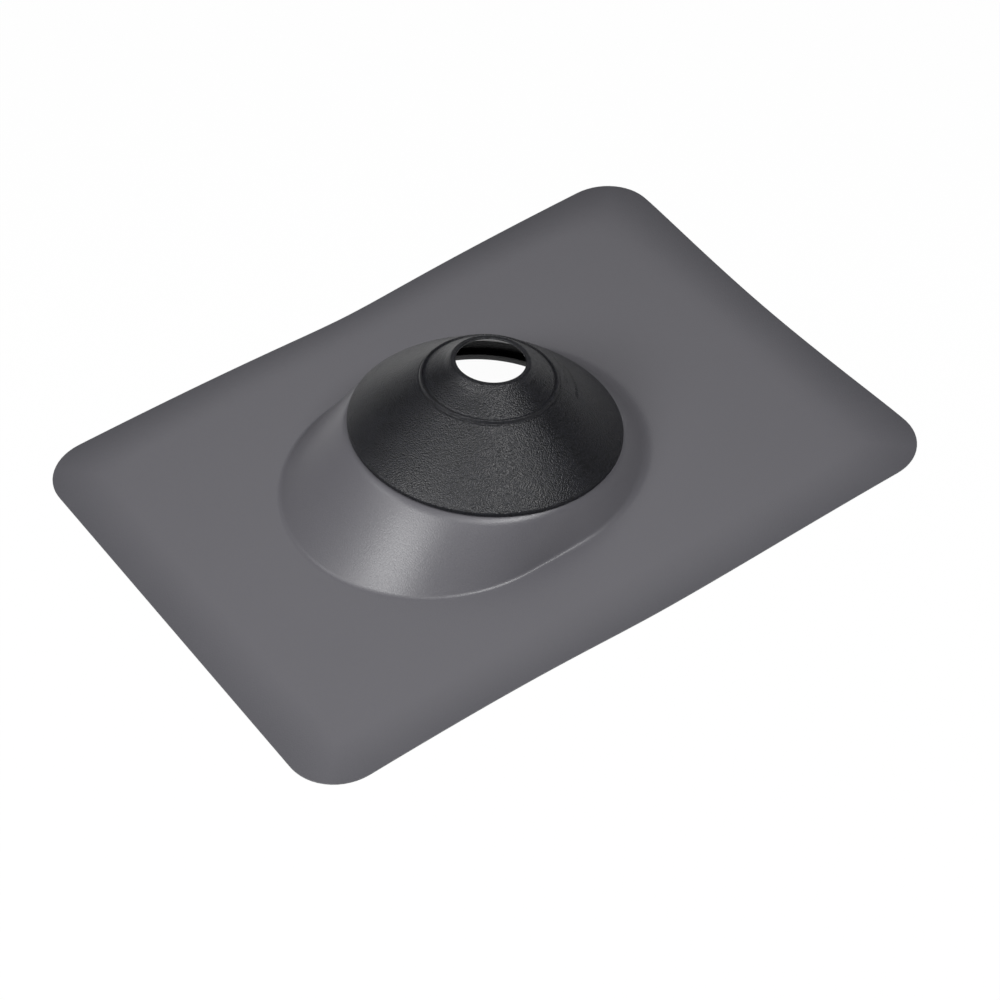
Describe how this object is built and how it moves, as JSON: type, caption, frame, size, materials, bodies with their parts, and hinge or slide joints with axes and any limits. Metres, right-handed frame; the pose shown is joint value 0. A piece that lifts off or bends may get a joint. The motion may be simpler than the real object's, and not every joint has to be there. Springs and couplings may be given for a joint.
{
  "type": "pipe flashing boot",
  "caption": "Roof flashing for a vent pipe: thin coated metal sheet with rounded corners, a drawn lopsided dome, and a black moulded rubber collar cone on its tilted seat.",
  "frame": {"origin": "middle of the flat sheet's underside, where the flashing lies on the roof deck", "axes": "+Z away from the roof deck, +X up the roof slope along the sheet's long way, which the collar leans towards, +Y to the left seen facing up the slope"},
  "size_m": [0.3174, 0.2363, 0.0572],
  "materials": {
    "coated_metal": "satin grey coating",
    "black_rubber": "fine pebble grain"
  },
  "bodies": {
    "root": {"flashing_base": "coated_metal", "pipe_collar": "black_rubber"}
  },
  "joints": []
}
